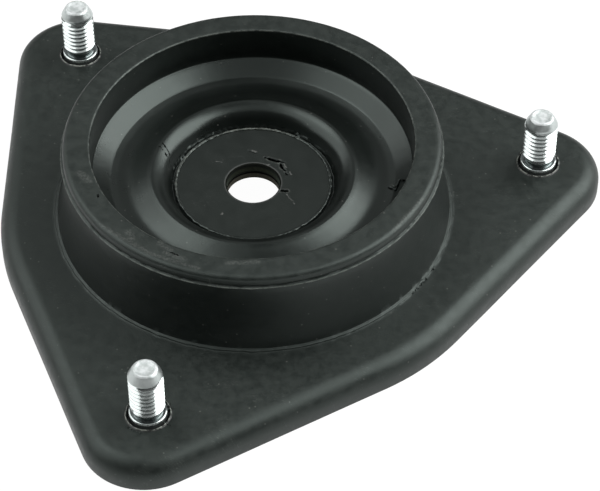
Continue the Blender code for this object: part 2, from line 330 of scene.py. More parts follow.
def ring_outside():
    """Ridge on the plate, flared wall, flash lip and the band under the ring's top."""
    ridge = [(RIDGE_R + 0.18, 0.0), (RIDGE_R + 0.02, 0.06), (RIDGE_R - 0.04, 0.25),
             (RIDGE_R - 0.2, 0.95 * RIDGE_HEIGHT), (RIDGE_R - 0.45, RIDGE_HEIGHT)]
    wall = []
    wall_foot = RIDGE_HEIGHT + 0.1
    wall_top = LIP_RISE - 0.2
    for i in range(17):
        t = 1 - i / 16
        wall.append((WALL_TOP_R + (WALL_FOOT_R - WALL_TOP_R) * t ** 3,
                     wall_top + (wall_foot - wall_top) * t))
    lip = [(LIP_R - 0.28, LIP_RISE - 0.14), (LIP_R - 0.08, LIP_RISE - 0.08), (LIP_R, LIP_RISE + 0.02),
           (LIP_R - 0.02, LIP_RISE + 0.16), (LIP_R - 0.2, LIP_RISE + 0.25),
           (RING_BAND_R + 0.02, LIP_RISE + 0.27), (RING_BAND_R - 0.1, LIP_RISE + 0.35),
           (RING_BAND_R - 0.05, LIP_RISE + 0.46), (RING_BAND_R, LIP_RISE + 0.6)]
    return ridge + wall + lip


def ring_top_and_bore():
    edge_z = RING_RISE - RING_EDGE
    bore_top = RING_RISE - RING_INNER_EDGE
    bore_foot = LEDGE_RISE + BORE_FILLET
    points = line((RING_BAND_R, LIP_RISE + 0.6), (RING_BAND_R, edge_z), 2)
    points += arc(RING_BAND_R - RING_EDGE, edge_z, RING_EDGE, 0, 90, 6)[1:]
    points += line((RING_BAND_R - RING_EDGE, RING_RISE), (RING_BORE_R + RING_INNER_EDGE, RING_RISE), 8)
    points += arc(RING_BORE_R + RING_INNER_EDGE, bore_top, RING_INNER_EDGE, 90, 180, 4)[1:]
    return points + line((RING_BORE_R, bore_top), (RING_BORE_R, bore_foot), 7)[:-1]


def web_top():
    """Ledge inside the ring, trough, crest and the flank down to the hub plate's flash."""
    flash_r = HUB_R + FIT
    drop = CREST_RISE - TROUGH_RISE
    bore = smooth_run([
        (RING_BORE_R, LEDGE_RISE + BORE_FILLET),
        (RING_BORE_R - 0.12, LEDGE_RISE + 0.35 * BORE_FILLET),
        (RING_BORE_R - BORE_FILLET, LEDGE_RISE - 0.05)], 3)
    ledge = line((RING_BORE_R - BORE_FILLET, LEDGE_RISE - 0.05), (LEDGE_R, LEDGE_EDGE_RISE), 8)
    outer = smooth_run([
        (LEDGE_R - 0.1, LEDGE_EDGE_RISE - 0.03),
        (LEDGE_R - 0.7, LEDGE_EDGE_RISE - 0.18),
        (TROUGH_R + 1.2, TROUGH_RISE + 0.07),
        (TROUGH_R, TROUGH_RISE),
        (TROUGH_R - 1.1, TROUGH_RISE + 0.035 * drop),
        (TROUGH_R - 2.2, TROUGH_RISE + 0.165 * drop),
        (TROUGH_R - 3.5, TROUGH_RISE + 0.4 * drop),
        (TROUGH_R - 4.7, TROUGH_RISE + 0.64 * drop),
        (TROUGH_R - 5.7, TROUGH_RISE + 0.86 * drop),
        (CREST_R, CREST_RISE)], 4)
    inner = smooth_run([
        (CREST_R - CREST_FLAT, CREST_RISE - 0.04),
        (CREST_R - 1.2, CREST_RISE - 0.22),
        (CREST_R - 1.9, CREST_RISE - 0.55),
        (CREST_R - 2.65, CREST_RISE - 1.08),
        (CREST_R - 3.25, CREST_RISE - 1.75),
        (CREST_R - 3.7, CREST_RISE - 2.5),
        (CREST_R - 4.1, CREST_RISE - 3.35),
        (CREST_R - 4.42, CREST_RISE - 4.02)], 4)
    flash = [(CREST_R - 4.62, HUB_RISE - 0.05), (CREST_R - 4.85, HUB_RISE - 0.5),
             (flash_r + 0.42, HUB_RISE - 0.55), (flash_r + 0.22, HUB_RISE - 0.2),
             (flash_r + 0.1, HUB_RISE + 0.12), (flash_r - 0.05, HUB_RISE + 0.24),
             (flash_r - 0.3, HUB_RISE + 0.26), (flash_r - 0.5, HUB_RISE + 0.16),
             (flash_r - 0.52, HUB_RISE + 0.05), (flash_r, HUB_RISE + 0.04)]
    return bore + ledge + outer + inner + flash


def web_underside():
    """Down the hub's edge, over the bearing seat and along the arched underside."""
    skirt_z = SEAT_TOP - SEAT_DEPTH + 2 * SEAT_THICK
    seat_side = SEAT_R + FIT
    skirt_r = seat_side + SEAT_SKIRT
    arch_r = 0.5 * (skirt_r + WEB_ROOT_R)
    arch_z = TROUGH_RISE - WEB_THICK
    points = [(HUB_R + FIT, SEAT_TOP + FIT)]
    points += arc(SEAT_R - SEAT_BEND, SEAT_TOP - SEAT_BEND, SEAT_BEND + FIT, 90, 0, 5)
    points += [(seat_side, skirt_z)]
    points += smooth_run([
        (skirt_r, skirt_z),
        (arch_r - 0.5 * WEB_ARCH_FLAT, arch_z),
        (arch_r + 0.5 * WEB_ARCH_FLAT, arch_z),
        (WEB_ROOT_R, WEB_ROOT_RISE)], 6)
    return points + [(COLLAR_BORE_R - FIT, WEB_ROOT_RISE)]


def skin_inside():
    """Inside of the rubber: over the steel collar, under the plate's skin and round its rim."""
    over = SKIN - FIT
    inside = SKIN + PLATE_THICK + FIT
    collar_top = RING_RISE - SKIN
    points = [(COLLAR_BORE_R - FIT, collar_top), (COLLAR_R + FIT, collar_top)]
    points += arc(COLLAR_R + COLLAR_BEND, COLLAR_BEND - SKIN, COLLAR_BEND - FIT, 180, 270, 5)
    points += line(points[-1], (WAIST_R - RIM_ROUND, -over), 4)
    points += arc(WAIST_R - RIM_ROUND, -RIM_ROUND, RIM_ROUND - over, 90, 0, 6)[1:]
    foot = FOOT_LIP - RIM_HEIGHT
    return points + [(WAIST_R - over, foot), (WAIST_R - inside, foot), (WAIST_R - inside, -RIM_HEIGHT)]


def ragged_share(angle):
    """How ragged the flash on the plate's ridge is, most of all at its right front."""
    worst = math.exp(-((angle - RAGGED_ANGLE) / 8.0) ** 2)
    return 0.25 + 0.75 * worst


def edge_growth(co, radius):
    """How far the moulding's surface and edges stray outwards from their nominal radius."""
    grow = 0.0
    if radius > STRETCH_FROM:
        grow = -0.05 + 0.05 * wobble(co, 16.0)
    if radius > RING_BAND_R - 0.2 and LIP_RISE - 0.3 < co.z < LIP_RISE + 0.3:
        grow = -0.04 + 0.06 * wobble(co, 2.2) + 0.05 * wobble(co, 0.9)
    if RING_BAND_R - 1.2 < radius < RING_BAND_R + 0.1 and co.z > LIP_RISE + 0.8:
        grow = -0.04 * abs(wobble(co, 3.0)) - 0.03 * abs(wobble(co, 0.8))
    if CREST_R - 5.2 < radius < CREST_R - 4.3 and co.z < HUB_RISE + 0.3:
        grow = 0.14 * wobble(co, 1.1) + 0.08 * wobble(co, 0.5)
    if radius < RING_BORE_R + RING_INNER_EDGE and co.z > RING_RISE - RING_INNER_EDGE:
        grow = 0.05 + 0.05 * wobble(co, 1.2) + 0.04 * wobble(co, 0.6)
    return grow


def rough_up(bm):
    """Moulding waves, uneven edges and the two ragged flash lines."""
    for vert in bm.verts:
        co = vert.co.copy()
        radius = math.hypot(co.x, co.y)
        grow = edge_growth(co, radius)
        if co.z > -RIM_ROUND:
            vert.co.z -= 0.03 + 0.03 * wobble(co, 12.0)
        if RIDGE_R - 0.6 < radius < RIDGE_R + 0.25 and 0.03 < co.z < 0.6:
            rag = ragged_share(math.degrees(math.atan2(co.y, co.x)) % 360)
            grow = 0.16 * wobble(co, 2.5) + 0.35 * rag * wobble(co, 0.9)
            vert.co.z += rag * 0.18 * wobble(co, 1.1)
        if HUB_R - 0.3 < radius < HUB_R + FIT + 0.2 and HUB_RISE + 0.1 < co.z < HUB_RISE + 0.4:
            vert.co.z += 0.12 * wobble(co, 0.9)
            grow = 0.12 * wobble(co, 1.3) + 0.1 * wobble(co, 0.5)
        vert.co.x += grow * co.x / radius
        vert.co.y += grow * co.y / radius


def make_rubber():
    section = (rim_and_plate_top() + ring_outside() + ring_top_and_bore() + web_top()
               + web_underside() + skin_inside())
    bm = spin_section(section, RING_STEPS)
    stretch_to_outline(bm)
    rough_up(bm)
    bm = cut(bm, stud_hole_tools(SKIN_HOLE_R, RIM_HEIGHT, 72, 0.012))
    finish_piece("moulded_rubber", bm, RUBBER, "rubber_moulding")


def make_stud_flash():
    """Ragged rings of rubber that squeezed up around the studs."""
    for side, turn in STUD_TURN.items():
        inner = FLASH_BORE_R
        section = [(inner, -0.9), (inner + 1.0, -0.9), (inner + 0.85, -0.04), (inner + 0.66, 0.06),
                   (inner + 0.56, 0.22), (inner + 0.46, 0.24), (inner + 0.38, 0.1), (inner + 0.25, -0.25)]
        bm = spin_section(section, FLASH_STEPS)
        shift = Vector((turn, 0.0, 0.0))
        for vert in bm.verts:
            ragged = wobble(vert.co + shift, 1.3) + 0.6 * wobble(vert.co + shift, 0.5)
            if vert.co.z > 0.0:
                vert.co.z *= max(0.1, 1.0 + ragged)
            vert.co.x *= 1.0 + 0.02 * ragged
            vert.co.y *= 1.0 + 0.02 * ragged
        bmesh.ops.translate(bm, vec=stud_place(side), verts=bm.verts)
        finish_piece("stud_flash_" + side, bm, TORN_RUBBER)


def add_crumb(bm, place, size, seed):
    """One torn bit of rubber, an uneven lump half sunk where it hangs on."""
    made = bmesh.ops.create_icosphere(bm, subdivisions=2, radius=1.0)
    for vert in made["verts"]:
        vert.co *= 1.0 + 0.6 * wobble(vert.co + Vector((seed * 7.3, 0.0, 0.0)), 0.7)
        vert.co = place + Vector((vert.co.x * size, vert.co.y * size, 0.6 * vert.co.z * size))


def make_crumbs():
    """Torn flash along the front right of the ridge on the plate."""
    bm = bmesh.new()
    for i in range(CRUMBS):
        spread = wobble(Vector((i * 3.7, 0.5, 0.0)), 1.0)
        angle = RAGGED_ANGLE + 13.0 * spread
        radius = RIDGE_R - 0.1 + 0.5 * wobble(Vector((i * 2.3, 4.5, 0.0)), 1.0)
        size = 0.22 + 0.14 * wobble(Vector((i * 1.9, 8.5, 0.0)), 1.0)
        add_crumb(bm, polar(angle, radius, 0.16), size, i)
    bmesh.ops.recalc_face_normals(bm, faces=bm.faces)
    finish_piece("ridge_crumbs", bm, RUBBER)


# Torn slivers of rubber elsewhere: start and end as angle, radius and height, then size
TORN_SLIVERS = (
    ((11.4, 33.6, 9.7), (13.2, 32.7, 9.4), 0.34),
    ((13.4, 35.3, 10.9), (14.4, 34.9, 10.6), 0.34),
    ((273.0, 65.6, 0.05), (273.6, 64.6, 0.1), 0.24),
    ((273.4, 66.4, 0.05), (274.6, 65.6, 0.1), 0.22),
    ((274.0, 70.2, 0.05), (275.2, 70.6, 0.1), 0.20),
    ((268.2, 73.9, 0.05), (270.6, 74.5, 0.1), 0.30),
    ((266.6, 66.6, 0.05), (266.2, 65.4, 0.1), 0.20),
)


def make_torn_slivers():
    """Torn slivers by the front stud and on the ledge, each a row of small uneven lumps."""
    bm = bmesh.new()
    for i, (start, end, size) in enumerate(TORN_SLIVERS):
        for j in range(SLIVER_LUMPS):
            share = j / (SLIVER_LUMPS - 1)
            place = polar(*start).lerp(polar(*end), share)
            add_crumb(bm, place, size * (1.0 - 0.45 * share), 10 * i + j)
    bmesh.ops.recalc_face_normals(bm, faces=bm.faces)
    finish_piece("torn_slivers", bm, RUBBER)


# Steel plate, hub plate and bearing seat


def make_steel_plate():
    bend_r = COLLAR_R + COLLAR_BEND
    bend_z = COLLAR_BEND - SKIN
    collar_top = RING_RISE - SKIN - FIT
    inside = SKIN + PLATE_THICK
    foot = FOOT_LIP + FIT - RIM_HEIGHT
    section = [(WAIST_R - SKIN, foot)]
    section += arc(WAIST_R - RIM_ROUND, -RIM_ROUND, RIM_ROUND - SKIN, 0, 90, 8)
    section += line(section[-1], (bend_r, -SKIN), 6)
    section += arc(bend_r, bend_z, COLLAR_BEND, 270, 180, 6)[1:]
    section += [(COLLAR_R, collar_top), (COLLAR_BORE_R, collar_top)]
    section += arc(bend_r, bend_z, COLLAR_BEND + PLATE_THICK, 180, 270, 8)
    section += line(section[-1], (WAIST_R - RIM_ROUND, -inside), 6)
    section += arc(WAIST_R - RIM_ROUND, -RIM_ROUND, RIM_ROUND - inside, 90, 0, 4)[1:]
    section += [(WAIST_R - inside, foot)]
    bm = spin_section(section, PLATE_STEPS)
    stretch_to_outline(bm)
    bm = cut(bm, stud_hole_tools(SHOULDER_R + FIT, 3 * RIM_HEIGHT, 64))
    finish_piece("stamped_plate", bm, STEEL, "mounting_plate")


# Gouges on the hub plate: start and end as angle and radius, then width and depth
GOUGES = (
    ((92.0, 8.9), (84.0, 8.8), 0.20, 0.30),
    ((84.0, 8.8), (70.0, 9.2), 0.30, 0.45),
    ((70.0, 9.2), (62.5, 9.9), 0.22, 0.30),
    ((63.0, 8.9), (56.0, 8.4), 0.26, 0.40),
    ((56.0, 8.4), (47.0, 8.6), 0.20, 0.32),
    ((43.0, 8.2), (37.8, 8.5), 0.20, 0.26),
    ((357.5, 7.1), (0.5, 8.5), 0.24, 0.40),
    ((356.3, 8.3), (343.6, 12.2), 0.14, 0.06),
    ((115.5, 10.9), (107.7, 10.0), 0.18, 0.16),
)


def near_segment(point, start, end):
    """Distance from a point to the straight stretch between two others."""
    along = end - start
    share = max(0.0, min(1.0, (point - start).dot(along) / along.length_squared))
    return (point - start - along * share).length


def make_hub_disc():
    hole_edge = ROD_HOLE_R + ROD_CHAMFER
    section = [(HUB_R, HUB_RISE - HUB_THICK)]
    section += arc(HUB_R - HUB_EDGE, HUB_RISE - HUB_EDGE, HUB_EDGE, 0, 90, 3)
    section += line(section[-1], (hole_edge + 0.15, HUB_RISE), 84)
    section += [(hole_edge, HUB_RISE - 0.03)]
    section += line(section[-1], (ROD_HOLE_R, HUB_RISE - ROD_CHAMFER), 4)
    section += [(ROD_HOLE_R, HUB_RISE - HUB_THICK)]
    bm = spin_section(section, HUB_STEPS)
    for vert in bm.verts:
        if vert.co.z < HUB_RISE - 0.2:
            continue
        flat = Vector((vert.co.x, vert.co.y, 0.0))
        rough = wobble(flat, 0.7)
        vert.co.z -= 0.02 + 0.02 * wobble(flat, 7.0)
        for start, end, width, depth in GOUGES:
            away = near_segment(flat, polar(*start), polar(*end)) + 0.12 * rough
            vert.co.z -= depth * math.exp(-(away / width) ** 2)
            vert.co.z += 0.12 * depth * math.exp(-((away - 2.2 * width) / width) ** 2)
    finish_piece("hub_disc", bm, HUB_COAT, "hub_plate")


def make_bearing_cup():
    bend_r = SEAT_R - SEAT_BEND
    bend_z = SEAT_TOP - SEAT_BEND
    bottom = SEAT_TOP - SEAT_DEPTH
    section = arc(bend_r, bend_z, SEAT_BEND, 90, 0, 8)
    section += [(SEAT_R, bottom + 0.3), (SEAT_R - 0.3, bottom), (SEAT_R - SEAT_THICK + 0.3, bottom),
                (SEAT_R - SEAT_THICK, bottom + 0.3)]
    section += arc(bend_r, bend_z, SEAT_BEND - SEAT_THICK, 0, 90, 6)
    section += [(ROD_HOLE_R + 0.2, SEAT_TOP - SEAT_THICK), (ROD_HOLE_R, SEAT_TOP - SEAT_THICK + 0.2),
                (ROD_HOLE_R, SEAT_TOP - 0.2), (ROD_HOLE_R + 0.2, SEAT_TOP)]
    finish_piece("bearing_cup", spin_section(section, SEAT_STEPS), STEEL, "bearing_seat")


# Studs


def thread_section():
    """One pitch of the thread, root to root."""
    crest = 0.5 * PITCH
    return [(ROOT_R, 0.0), (ROOT_R, 0.1 * PITCH), (ROOT_R + 0.07, 0.15 * PITCH),
            (THREAD_R - 0.08, crest - 0.09 * PITCH), (THREAD_R, crest - 0.04 * PITCH),
            (THREAD_R, crest + 0.04 * PITCH), (THREAD_R - 0.08, crest + 0.09 * PITCH),
            (ROOT_R + 0.07, 0.85 * PITCH), (ROOT_R, 0.9 * PITCH), (ROOT_R, PITCH)]


def spin_thread(bottom, top):
    """A right-hand thread from bottom to top, open at both ends."""
    turns = math.ceil((top - bottom) / PITCH) + 2
    bm = bmesh.new()
    start = bottom - 1.5 * PITCH
    verts = [bm.verts.new((r, 0.0, start + z)) for r, z in thread_section()]
    edges = [bm.edges.new((verts[i], verts[i + 1])) for i in range(len(verts) - 1)]
    bmesh.ops.spin(bm, geom=verts + edges, cent=(0, 0, 0), axis=(0, 0, 1), angle=math.tau * turns,
                   dvec=(0, 0, PITCH / TURN_STEPS), steps=TURN_STEPS * turns, use_merge=False,
                   use_duplicate=False)
    bmesh.ops.remove_doubles(bm, verts=bm.verts, dist=1e-4)
    for height, facing in ((bottom, -1), (top, 1)):
        bmesh.ops.bisect_plane(bm, geom=bm.verts[:] + bm.edges[:] + bm.faces[:], dist=1e-5,
                               plane_co=(0, 0, height), plane_no=(0, 0, facing), clear_outer=True)
    return bm


def fade(value, start, end):
    """0 before start, 1 after end, smooth between."""
    share = max(0.0, min(1.0, (value - start) / (end - start)))
    return share * share * (3 - 2 * share)


def shape_thread_ends(bm, bottom, top):
    """Tapers the tip to a smooth cone and lets the thread run out into the neck."""
    for vert in bm.verts:
        radius = math.hypot(vert.co.x, vert.co.y)
        below_top = top - vert.co.z
        cone = min(THREAD_R, TIP_R + (THREAD_R - TIP_R) * below_top / TIP_LENGTH)
        smooth = 1.0 - fade(below_top, TIP_LENGTH - 0.6, TIP_LENGTH + 0.9)
        target = min(radius, cone) * (1 - smooth) + cone * smooth
        run_out = 1.0 - fade(vert.co.z - bottom, 0.0, 0.8)
        target = target * (1 - run_out) + NECK_R * run_out
        vert.co.x *= target / radius
        vert.co.y *= target / radius


def end_loop(bm, height):
    return [e for e in bm.edges if e.is_boundary
            and all(abs(v.co.z - height) < 1e-3 for v in e.verts)]


def extrude_rings(bm, height, rings):
    """Carries an open end on through rings given as radius and height, and closes it."""
    edges = end_loop(bm, height)
    for radius, z in rings:
        made = bmesh.ops.extrude_edge_only(bm, edges=edges)["geom"]
        edges = [g for g in made if isinstance(g, bmesh.types.BMEdge) and g.is_boundary]
        for vert in {v for e in edges for v in e.verts}:
            angle = math.atan2(vert.co.y, vert.co.x)
            vert.co = Vector((radius * math.cos(angle), radius * math.sin(angle), z))
    bmesh.ops.pointmerge(bm, verts=list({v for e in edges for v in e.verts}),
                         merge_co=(0.0, 0.0, rings[-1][1]))


def make_stud(side):
    bottom = SHOULDER_RISE + NECK_LENGTH
    bm = spin_thread(bottom, STUD_RISE - 0.35)
    shape_thread_ends(bm, bottom, STUD_RISE)
    head_top = -SKIN - PLATE_THICK - FIT
    head_foot = head_top - HEAD_THICK
    lower = [(NECK_R, bottom - 0.2), (NECK_R, SHOULDER_RISE + 0.12), (NECK_R + 0.12, SHOULDER_RISE)]
    lower += [(SHOULDER_R - 0.5, SHOULDER_RISE)]
    lower += arc(SHOULDER_R - 0.42, SHOULDER_RISE - 0.42, 0.42, 90, 0, 5)
    lower += [(SHOULDER_R, SHOULDER_RISE - 0.5), (SHOULDER_R, head_top + 0.2), (SHOULDER_R + 0.2, head_top)]
    lower += arc(HEAD_R - 0.35, head_top - 0.35, 0.35, 90, 0, 3)
    lower += arc(HEAD_R - 0.35, head_foot + 0.35, 0.35, 0, -90, 3)
    lower += [(0.5 * HEAD_R, head_foot), (0.4, head_foot), (0.02, head_foot)]
    tip = arc(TIP_R - 0.35, STUD_RISE - 0.4, 0.38, 30, 90, 4)
    tip += [(TIP_R - 0.55, STUD_RISE - 0.02), (TIP_R - 0.75, STUD_RISE - 0.14),
            (0.5 * TIP_R, STUD_RISE - 0.2), (0.4, STUD_RISE - 0.2), (0.02, STUD_RISE - 0.2)]
    extrude_rings(bm, bottom, lower)
    extrude_rings(bm, STUD_RISE - 0.35, tip)
    bmesh.ops.recalc_face_normals(bm, faces=bm.faces)
    bmesh.ops.rotate(bm, cent=(0, 0, 0), verts=bm.verts,
                     matrix=Matrix.Rotation(math.radians(STUD_TURN[side]), 3, "Z"))
    bmesh.ops.translate(bm, vec=stud_place(side), verts=bm.verts)
    finish_piece("threaded_stud_" + side, bm, ZINC, "stud_" + side)


# Material tools


def set_inputs(tree, node, inputs):
    """Sets each input to a value, or links it from a socket."""
    for key, value in inputs.items():
        if isinstance(value, bpy.types.NodeSocket):
            tree.links.new(value, node.inputs[key])
        else:
            node.inputs[key].default_value = value


def add_node(tree, kind, inputs=None, **settings):
    """A shader node with its settings and inputs."""
    node = tree.nodes.new(kind)
    for name, value in settings.items():
        setattr(node, name, value)
    set_inputs(tree, node, inputs or {})
    return node


def maths(tree, operation, first, second=0.0, clamp=False):
    return add_node(tree, "ShaderNodeMath", {0: first, 1: second}, operation=operation,
                    use_clamp=clamp).outputs[0]


def times(tree, first, second):
    return maths(tree, "MULTIPLY", first, second)


def vector_maths(tree, operation, first, second=(0.0, 0.0, 0.0), out="Vector"):
    return add_node(tree, "ShaderNodeVectorMath", {0: first, 1: second},
                    operation=operation).outputs[out]


def remap(tree, value, low, high, to_low=0.0, to_high=1.0):
    return add_node(tree, "ShaderNodeMapRange",
                    {"Value": value, "From Min": low, "From Max": high, "To Min": to_low,
                     "To Max": to_high}, interpolation_type="SMOOTHSTEP").outputs["Result"]


def mix_color(tree, share, first, second):
    return add_node(tree, "ShaderNodeMix", {"Factor": share, "A": first, "B": second},
                    data_type="RGBA").outputs["Result"]


def noise_value(tree, vector, size, detail=3.0, roughness=0.5):
    return add_node(tree, "ShaderNodeTexNoise",
                    {"Vector": vector, "Scale": 1.0 / size, "Detail": detail,
                     "Roughness": roughness}).outputs["Fac"]


def new_group(name, inputs, outputs):
    """An empty node group with its sockets, and its input and output nodes."""
    group = bpy.data.node_groups.new(name, "ShaderNodeTree")
    for socket, kind in inputs.items():
        group.interface.new_socket(socket, in_out="INPUT", socket_type="NodeSocket" + kind)
    for socket, kind in outputs.items():
        group.interface.new_socket(socket, in_out="OUTPUT", socket_type="NodeSocket" + kind)
    return group, group.nodes.new("NodeGroupInput").outputs, group.nodes.new("NodeGroupOutput").inputs


def use_group(tree, group, inputs, out):
    node = tree.nodes.new("ShaderNodeGroup")
    node.node_tree = group
    set_inputs(tree, node, inputs)
    return node.outputs[out]


def make_mark_group():
    """A ragged mark between two points, 1 along its middle and 0 past its width."""
    group, start, end = new_group(
        "surface_mark", {"Vector": "Vector", "Start": "Vector", "End": "Vector", "Width": "Float"},
        {"Mask": "Float"})
    wander = add_node(group, "ShaderNodeTexNoise", {"Vector": start["Vector"], "Scale": 1.6, "Detail": 3.0})
    shift = vector_maths(group, "SUBTRACT", wander.outputs["Color"], (0.5, 0.5, 0.5))
    moved = vector_maths(group, "MULTIPLY_ADD", shift, (0.9, 0.9, 0.9))
    group.links.new(start["Vector"], moved.node.inputs[2])
    away = vector_maths(group, "SUBTRACT", moved, start["Start"])
    along = vector_maths(group, "SUBTRACT", start["End"], start["Start"])
    reach = vector_maths(group, "DOT_PRODUCT", along, along, "Value")
    share = maths(group, "DIVIDE", vector_maths(group, "DOT_PRODUCT", away, along, "Value"), reach, True)
    foot = vector_maths(group, "SCALE", along)
    group.links.new(share, foot.node.inputs["Scale"])
    gap = vector_maths(group, "LENGTH", vector_maths(group, "SUBTRACT", away, foot), out="Value")
    mask = maths(group, "SUBTRACT", 1.0, maths(group, "DIVIDE", gap, start["Width"]), True)
    group.links.new(mask, end["Mask"])
    return group


def make_speck_group():
    """Sparse small specks of dust and grit."""
    group, start, end = new_group(
        "fine_specks", {"Vector": "Vector", "Size": "Float", "Share": "Float"}, {"Mask": "Float"})
    scale = maths(group, "DIVIDE", 1.0, start["Size"])
    cells = add_node(group, "ShaderNodeTexVoronoi", {"Vector": start["Vector"], "Scale": scale})
    chance = add_node(group, "ShaderNodeSeparateColor", {"Color": cells.outputs["Color"]}).outputs["Red"]
    chosen = maths(group, "LESS_THAN", chance, start["Share"])
    close = remap(group, cells.outputs["Distance"], 0.25, 0.1)
    group.links.new(times(group, chosen, close), end["Mask"])
    return group


def make_grain_group():
    """Height of a fine moulded grain over slower waves."""
    group, start, end = new_group(
        "moulded_grain", {"Vector": "Vector", "Size": "Float"}, {"Height": "Float"})
    scale = maths(group, "DIVIDE", 1.0, start["Size"])
    fine = add_node(group, "ShaderNodeTexNoise",
                    {"Vector": start["Vector"], "Scale": scale, "Detail": 4.0, "Roughness": 0.65})
    slow = add_node(group, "ShaderNodeTexNoise",
                    {"Vector": start["Vector"], "Scale": times(group, scale, 0.14), "Detail": 2.0})
    both = maths(group, "ADD", times(group, fine.outputs["Fac"], 0.4),
                 times(group, slow.outputs["Fac"], 0.8))
    group.links.new(both, end["Height"])
    return group


def make_scuff_group():
    """Patches of thin parallel rubs, in two directions."""
    group, start, end = new_group(
        "light_scuffs", {"Vector": "Vector", "Size": "Float", "Share": "Float"}, {"Mask": "Float"})
    scale = maths(group, "DIVIDE", 1.0, start["Size"])
    streaks = []
    for turn in (0.4, 1.9):
        turned = add_node(group, "ShaderNodeMapping",
                          {"Vector": start["Vector"], "Rotation": (0.0, 0.0, turn),
                           "Scale": (1.0, 9.0, 1.0)}).outputs["Vector"]
        streak = add_node(group, "ShaderNodeTexNoise",
                          {"Vector": turned, "Scale": scale, "Detail": 2.0}).outputs["Fac"]
        streaks.append(remap(group, streak, 0.62, 0.72))
    patches = add_node(group, "ShaderNodeTexNoise",
                       {"Vector": start["Vector"], "Scale": times(group, scale, 0.2),
                        "Detail": 3.0}).outputs["Fac"]
    level = maths(group, "SUBTRACT", 0.75, times(group, start["Share"], 0.4))
    patch = maths(group, "MULTIPLY", maths(group, "SUBTRACT", patches, level), 8.0, True)
    both = maths(group, "MAXIMUM", *streaks)
    group.links.new(times(group, both, patch), end["Mask"])
    return group


def new_material(name):
    material = bpy.data.materials.new(name)
    material.use_nodes = True
    tree = material.node_tree
    return material, tree, tree.nodes["Principled BSDF"]


def hub_coordinates(tree):
    """Millimetres about the hub axis, with z = 0 on the plate's top face."""
    place = add_node(tree, "ShaderNodeTexCoord").outputs["Object"]
    return add_node(tree, "ShaderNodeMapping",
                    {"Vector": place, "Scale": (1 / MM, 1 / MM, 1 / MM),
                     "Location": (0.0, -HUB_Y / MM, -PLATE_TOP / MM)}).outputs["Vector"]


def hub_radius(tree, place):
    """Distance from the hub axis."""
    flat = vector_maths(tree, "MULTIPLY", place, (1.0, 1.0, 0.0))
    return vector_maths(tree, "LENGTH", flat, out="Value")


def hub_height(tree, place):
    """Height over the plate's top face."""
    return add_node(tree, "ShaderNodeSeparateXYZ", {"Vector": place}).outputs["Z"]


def marks_mask(tree, vector, marks):
    """The strongest of a list of marks, each start, end and width in hub millimetres."""
    total = None
    for start, end, width in marks:
        mask = use_group(tree, MARK, {"Vector": vector, "Start": polar(*start), "End": polar(*end),
                                      "Width": width}, "Mask")
        total = mask if total is None else maths(tree, "MAXIMUM", total, mask)
    return total


def connect(tree, shader, color, roughness, height, strength, distance):
    bump = add_node(tree, "ShaderNodeBump",
                    {"Height": height, "Strength": strength, "Distance": distance})
    tree.links.new(color, shader.inputs["Base Color"])
    tree.links.new(roughness, shader.inputs["Roughness"])
    tree.links.new(bump.outputs["Normal"], shader.inputs["Normal"])


# Marks on the rubber: start and end as angle, radius and height, then width
RUBBER_SCUFFS_AND_HIGHLIGHTS = (
    ((215.0, 40.8, RING_RISE), (219.5, 39.4, RING_RISE), 1.50),
    ((239.0, 43.5, RING_RISE), (258.0, 42.5, RING_RISE), 0.95),
    ((258.0, 42.5, RING_RISE), (274.0, 42.5, RING_RISE), 0.80),
    ((246.8, 40.3, RING_RISE), (249.4, 41.2, RING_RISE), 1.40),
    ((258.0, 38.8, RING_RISE), (263.0, 39.5, RING_RISE), 1.10),
    ((262.0, 40.6, RING_RISE), (268.5, 40.8, RING_RISE), 1.20),
    ((282.0, 39.6, RING_RISE), (292.0, 39.0, RING_RISE), 0.90),
    ((337.0, 43.5, 20.8), (353.0, 43.5, 20.8), 0.85),
    ((176.0, 24.4, 10.7), (177.2, 25.4, 10.6), 0.25),
    # painted highlight on the edges of the torn flap on the ledge
    ((11.9, 33.5, 9.6), (13.0, 32.8, 9.4), 0.80),
)
# Nicks and scratches, cut into the rubber and painted near-black as the shade in them
RUBBER_NICKS_AND_SHADOW = (
    ((243.4, 44.7, 13.5), (243.9, 44.7, 12.9), 0.45),
    ((243.9, 44.7, 12.9), (244.6, 44.7, 13.0), 0.30),
    ((227.1, 39.2, RING_RISE), (227.5, 39.4, RING_RISE), 0.45),
    ((263.5, 40.0, RING_RISE), (266.0, 40.2, RING_RISE), 0.36),
    # the V on the ledge: a painted shadow under the torn flap
    ((11.7, 32.2, 9.2), (9.3, 34.0, 9.76), 0.58),
    ((9.3, 34.0, 9.76), (14.4, 34.6, 10.2), 0.64),
    ((14.4, 34.6, 10.2), (13.0, 35.8, 11.1), 0.54),
    ((176.5, 23.4, 10.75), (181.2, 20.6, 9.2), 0.34),
    ((179.5, 23.8, 10.78), (183.5, 21.1, 9.6), 0.30),
    ((184.5, 20.4, 8.8), (187.5, 20.0, 8.2), 0.34),
)


def band_mask(tree, value, middle, half):
    """1 where a value meets the middle, 0 past half its width."""
    gap = maths(tree, "ABSOLUTE", maths(tree, "SUBTRACT", value, middle))
    return maths(tree, "SUBTRACT", 1.0, maths(tree, "DIVIDE", gap, half), True)


def flash_mask(tree, place, radius, height):
    """The pale torn line round the hub plate, broken up and strongest on its far left."""
    near = remap(tree, band_mask(tree, radius, HUB_R + 0.08, 0.36), 0.1, 0.5)
    low = band_mask(tree, height, HUB_RISE + 0.25, 0.4)
    broken = remap(tree, noise_value(tree, place, 1.5, 4.0, 0.6), 0.36, 0.58, 0.15, 1.0)
    left = vector_maths(tree, "DOT_PRODUCT", place, (-0.77, 0.64, 0.0), "Value")
    side = remap(tree, left, 0.0, 16.5, 0.04, 1.0)
    place_mask = times(tree, near, low)
    torn_mask = times(tree, broken, side)
    mask = times(tree, place_mask, torn_mask)
    return maths(tree, "MULTIPLY", mask, 0.34, True)


